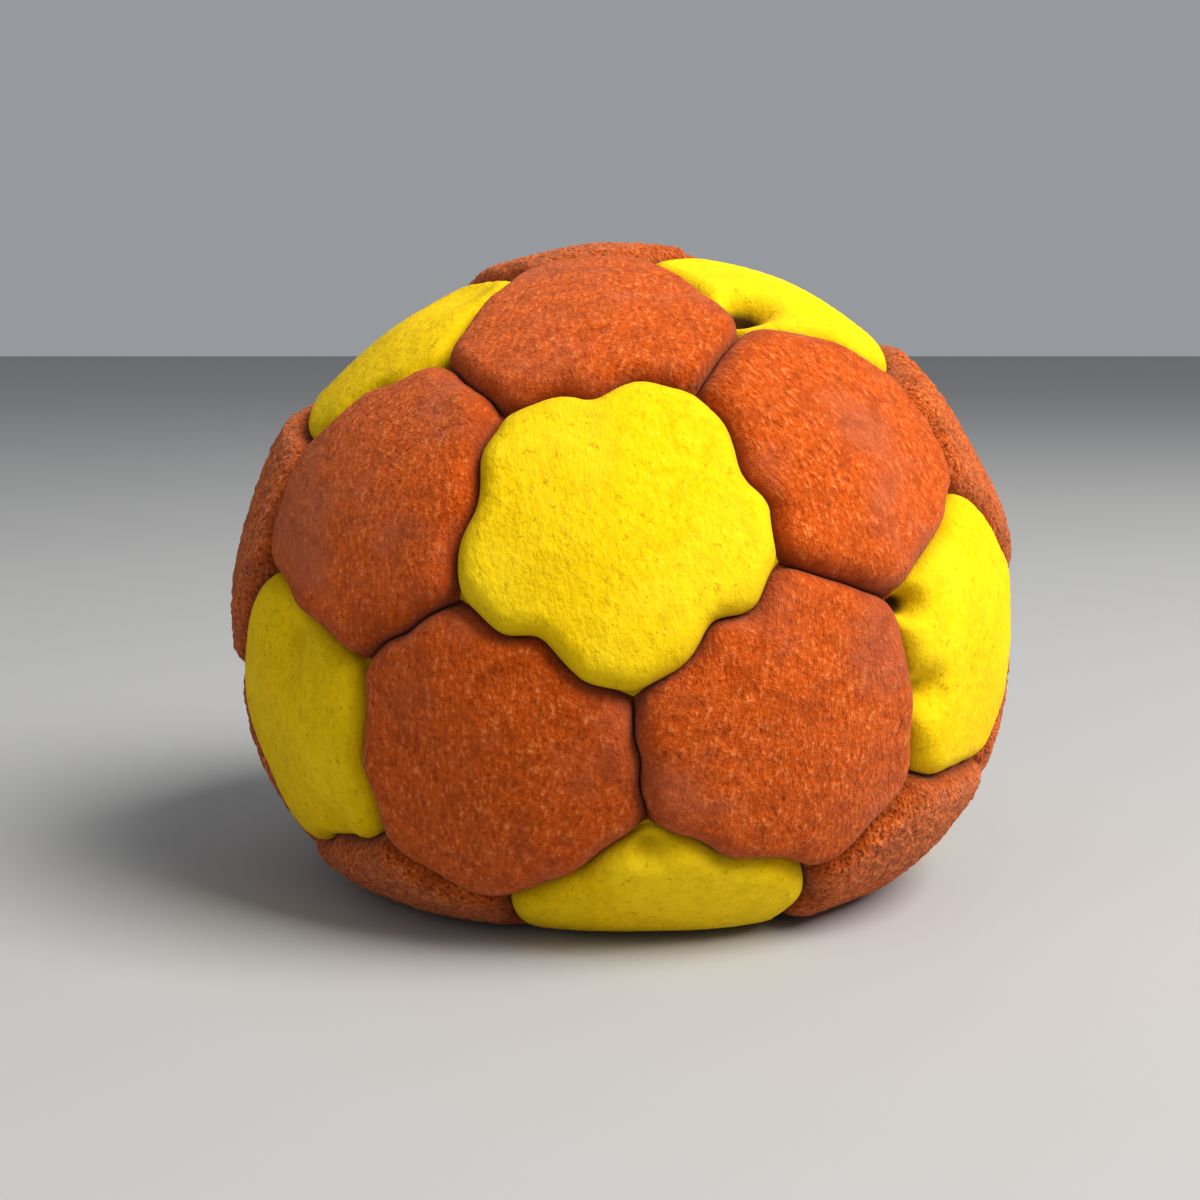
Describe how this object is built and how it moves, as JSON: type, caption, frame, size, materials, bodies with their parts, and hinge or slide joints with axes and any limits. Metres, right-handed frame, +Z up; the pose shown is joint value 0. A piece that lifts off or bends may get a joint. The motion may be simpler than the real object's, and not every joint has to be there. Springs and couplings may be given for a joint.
{
  "type": "juggling ball",
  "caption": "Soft beanbag juggling ball sewn from yellow pentagon and orange hexagon suede panels over loose round pellets, at rest on a flattened patch.",
  "frame": {"origin": "middle of the flat patch that the ball rests on, straight below the ball's middle", "axes": "+Z up out of the resting surface, -Y towards the side where a whole yellow pentagon faces the viewer, +X to that viewer's right"},
  "size_m": [0.0632, 0.0627, 0.0514],
  "materials": {
    "yellow_suede": "brushed microfibre suede, bright yellow",
    "orange_suede": "brushed microfibre suede, burnt orange",
    "thread": "twisted polyester sewing thread",
    "pellets": "moulded plastic pellets"
  },
  "bodies": {
    "root": {"pentagon_panel_01": "yellow_suede", "pentagon_panel_02": "yellow_suede", "pentagon_panel_03": "yellow_suede", "pentagon_panel_04": "yellow_suede", "pentagon_panel_05": "yellow_suede", "pentagon_panel_06": "yellow_suede", "pentagon_panel_07": "yellow_suede", "pentagon_panel_08": "yellow_suede", "pentagon_panel_09": "yellow_suede", "pentagon_panel_10": "yellow_suede", "pentagon_panel_11": "yellow_suede", "pentagon_panel_12": "yellow_suede", "hexagon_panel_01": "orange_suede", "hexagon_panel_02": "orange_suede", "hexagon_panel_03": "orange_suede", "hexagon_panel_04": "orange_suede", "hexagon_panel_05": "orange_suede", "hexagon_panel_06": "orange_suede", "hexagon_panel_07": "orange_suede", "hexagon_panel_08": "orange_suede", "hexagon_panel_09": "orange_suede", "hexagon_panel_10": "orange_suede", "hexagon_panel_11": "orange_suede", "hexagon_panel_12": "orange_suede", "hexagon_panel_13": "orange_suede", "hexagon_panel_14": "orange_suede", "hexagon_panel_15": "orange_suede", "hexagon_panel_16": "orange_suede", "hexagon_panel_17": "orange_suede", "hexagon_panel_18": "orange_suede", "hexagon_panel_19": "orange_suede", "hexagon_panel_20": "orange_suede", "pentagon_thread_01": "thread", "pentagon_thread_02": "thread", "pentagon_thread_03": "thread", "pentagon_thread_04": "thread", "pentagon_thread_05": "thread", "pentagon_thread_06": "thread", "pentagon_thread_07": "thread", "pentagon_thread_08": "thread", "pentagon_thread_09": "thread", "pentagon_thread_10": "thread", "pentagon_thread_11": "thread", "pentagon_thread_12": "thread", "hexagon_threads_upper": "thread", "hexagon_threads_middle": "thread", "hexagon_threads_lower": "thread", "closing_thread": "thread", "filling_pellets": "pellets"}
  },
  "joints": []
}
